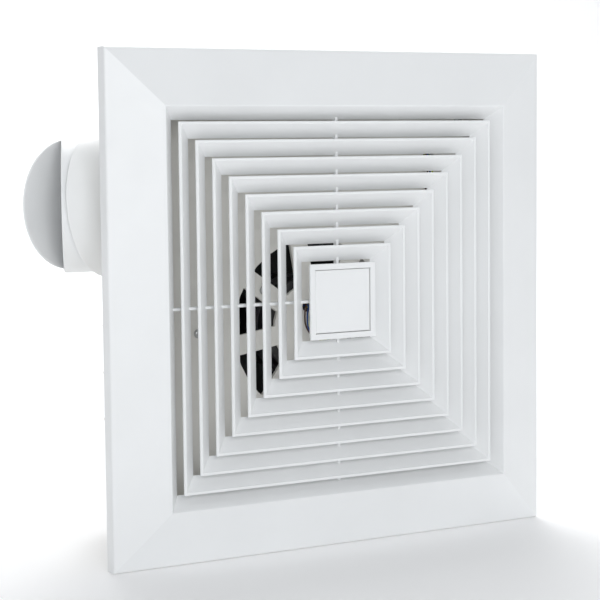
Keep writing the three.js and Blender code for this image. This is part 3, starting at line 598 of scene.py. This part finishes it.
# ---- screws ----
def screw_mesh():
    """A pan-head screw along +Y from the origin, with a cross recess cut into its head."""
    bm = bmesh.new()
    section = [(0.2, -SCREW_HEAD_HEIGHT), (1.4, -2.18), (2.3, -2.0), (3.0, -1.5), (3.35, -0.9), (3.4, -0.3),
               (1.5, -0.3), (1.5, 5.2), (0.3, 6.0)]
    turned(bm, section, "y", (0, 0, 0), 40, True)
    bmesh.ops.recalc_face_normals(bm, faces=bm.faces)
    body = bpy.data.meshes.new("screw_body")
    bm.to_mesh(body)
    bm.free()
    screw = bpy.data.objects.new("screw_body", body)
    bpy.context.collection.objects.link(screw)
    cutters = []
    for size in ((1.9, 0.36), (0.36, 1.9)):
        bm = bmesh.new()
        slab(bm, (-size[0], -3.0, -size[1]), (size[0], -1.1, size[1]), 0.12, 1)
        mesh = bpy.data.meshes.new("recess")
        bm.to_mesh(mesh)
        bm.free()
        cutter = bpy.data.objects.new("recess", mesh)
        bpy.context.collection.objects.link(cutter)
        cutters.append(cutter)
        modifier = screw.modifiers.new("recess", "BOOLEAN")
        modifier.object = cutter
        modifier.operation = "DIFFERENCE"
        modifier.solver = "EXACT"
    bpy.context.view_layer.update()
    result = bpy.data.meshes.new_from_object(screw.evaluated_get(bpy.context.evaluated_depsgraph_get()))
    for extra in (screw, *cutters):
        bpy.data.objects.remove(extra)
    return result


def make_screws():
    """A screw in place of each of the part's plain ones, each turned to an angle of its own."""
    shared = screw_mesh()
    for node in sorted(n for n in frame["nodes"] if "screw" in n):
        low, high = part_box(node)
        middle = [(a + b) / 2 for a, b in zip(low, high)]
        mesh = shared.copy()
        turn = Matrix.Rotation(math.radians(37 * len(node) + 71 * int(node[-1])), 4, "Y")
        mesh.transform(Matrix.Translation((middle[0], low[1] + SCREW_HEAD_HEIGHT * MM, middle[2])) @ turn)
        obj = bpy.data.objects.new(node + "_cross", mesh)
        bpy.context.collection.objects.link(obj)
        weighted(obj, 35)
        dress(obj, body_of[node], slot_of[node], (node,))


# ---- housing details ----
def make_housing_ribs():
    """Stiffening ribs on the housing's outside walls."""
    bm = bmesh.new()
    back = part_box("housing_shell")[1][1] / MM
    high, wide, stop = HOUSING_RIB_HEIGHT, HOUSING_RIB_HALF_WIDTH, back - HOUSING_RIB_STOP
    for z in LEFT_RIBS_Z:
        slab(bm, (-BOX_HALF_X - high, TRAY_BACK, z - wide), (-BOX_HALF_X + 0.5, stop, z + wide), 0.5)
    for z in RIGHT_RIBS_Z:
        slab(bm, (BOX_HALF_X - 0.5, TRAY_BACK, z - wide), (BOX_HALF_X + high, stop, z + wide), 0.5)
    for x in END_RIBS_X:
        slab(bm, (x - wide, TRAY_BACK, BOX_HALF_Z - 0.5), (x + wide, stop, BOX_HALF_Z + high), 0.5)
        slab(bm, (x - wide, TRAY_BACK, -BOX_HALF_Z - high), (x + wide, stop, -BOX_HALF_Z + 0.5), 0.5)
    piece_from(bm, "housing_ribs", "fan_housing", "inner_plastic", (), 35)


# ---- motor leads ----
def lead_route(index):
    """The points that a lead runs through, as the part has them, moved aside for each lead."""
    start, end = (-4, 15 + FAN_Z), (104, 104.5)
    route = [
        (start[0], 32.6, start[1]), (start[0], 25, start[1]), (-7, 21.2, -13), (-6, 20.5, -24),
        (2, 20.8, -31), (17, 22, -28), (40, 22.8, -15), (64, 23, -4), (86, 23, 26), (100, 23, 70),
        (103, 22.6, 95), (end[0], 27.5, end[1]), (end[0], 40, end[1]), (end[0], 84, end[1]),
    ]
    aside = Vector((-1.2, 1.5, 1.2)) * (index - 1)
    return [Vector(point) + aside for point in route]


def make_leads():
    """The three motor leads, as round curves along their routes."""
    for index, colour in enumerate(("earth", "neutral", "live")):
        curve = bpy.data.curves.new(f"lead_{colour}_curve", "CURVE")
        curve.dimensions = "3D"
        curve.bevel_depth = LEAD_RADIUS * MM
        curve.bevel_resolution = 4
        curve.resolution_u = 10
        curve.use_fill_caps = True
        spline = curve.splines.new("BEZIER")
        points = lead_route(index)
        spline.bezier_points.add(len(points) - 1)
        for knot, point in zip(spline.bezier_points, points):
            knot.co = point * MM
            knot.handle_left_type = knot.handle_right_type = "AUTO"
        obj = bpy.data.objects.new(f"lead_{colour}", curve)
        bpy.context.collection.objects.link(obj)
        dress(obj, "fan_housing", f"lead_{colour}", (f"motor_lead_{colour}",))


# ---- stage ----
def make_stage():
    """A pale floor that curves up into a pale wall far behind the fan."""
    bm = bmesh.new()
    radius = BACKDROP_RADIUS
    outline = [(FLOOR_FRONT, FLOOR_Z), (BACKDROP_Y, FLOOR_Z)]
    for k in range(1, BACKDROP_STEPS + 1):
        angle = math.pi / 2 * k / BACKDROP_STEPS
        outline.append((BACKDROP_Y + radius * math.sin(angle), FLOOR_Z + radius * (1 - math.cos(angle))))
    outline.append((BACKDROP_Y + radius, FLOOR_Z + BACKDROP_HEIGHT))
    rows = [[bm.verts.new((x, y, z)) for y, z in outline] for x in FLOOR_ENDS_X]
    bridge(bm, rows, closed_around=False, closed_section=False)
    mesh = bpy.data.meshes.new("studio_floor")
    bm.to_mesh(mesh)
    bm.free()
    floor = bpy.data.objects.new("studio_floor", mesh)
    bpy.context.collection.objects.link(floor)
    mesh.polygons.foreach_set("use_smooth", [True] * len(mesh.polygons))
    mesh.materials.append(studio_white("studio_white"))


def area_light(name, place, aim, size, power, colour):
    data = bpy.data.lights.new(name, "AREA")
    data.shape = "SQUARE"
    data.size = size
    data.energy = power
    data.color = colour
    light = bpy.data.objects.new(name, data)
    light.location = place
    direction = Vector(aim) - Vector(place)
    light.rotation_euler = direction.to_track_quat("-Z", "Y").to_euler()
    bpy.context.collection.objects.link(light)


def make_lights():
    world = bpy.data.worlds.new("studio")
    world.use_nodes = True
    background = world.node_tree.nodes["Background"]
    background.inputs["Color"].default_value = (*SKY_COLOUR, 1)
    background.inputs["Strength"].default_value = SKY_STRENGTH
    bpy.context.scene.world = world
    for light in LIGHTS:
        area_light(*light)


def make_camera():
    azimuth, pitch = CAMERA_AZIMUTH, CAMERA_PITCH
    level = math.cos(pitch)
    forward = Vector((math.sin(azimuth) * level, math.cos(azimuth) * level, math.sin(pitch)))
    data = bpy.data.cameras.new("camera")
    data.lens = CAMERA_LENS
    data.clip_end = 50
    camera = bpy.data.objects.new("camera", data)
    turn = forward.to_track_quat("-Z", "Y").to_matrix().to_4x4()
    camera.matrix_world = Matrix.Translation(CAMERA_PLACE) @ turn @ Matrix.Rotation(CAMERA_ROLL, 4, "Z")
    bpy.context.collection.objects.link(camera)
    bpy.context.scene.camera = camera


# ---- the whole fan ----
body_of = {node: body for body, nodes in frame["record"]["behaviour"]["bodies"].items() for node in nodes}
slot_of = {row["node"]: row["material_slot"] for row in frame["record"]["subparts"]}
materials = make_materials()

make_camera()
make_lights()
make_stage()
make_grille()
make_badge()
make_outlet()
make_shutter()
make_screws()
make_housing_ribs()
make_leads()
replaced_by_hand = {"front_grille", "centre_badge", "outlet_spigot", "outlet_socket", "shutter_flap"}
for node_name in sorted(frame["nodes"]):
    if node_name not in replaced_by_hand and "screw" not in node_name and "lead" not in node_name:
        refined(node_name, EDGES.get(node_name, DEFAULT_EDGE))

bpy.context.scene.view_settings.view_transform = "Standard"
bpy.context.scene.view_settings.gamma = VIEW_GAMMA
bpy.context.view_layer.update()
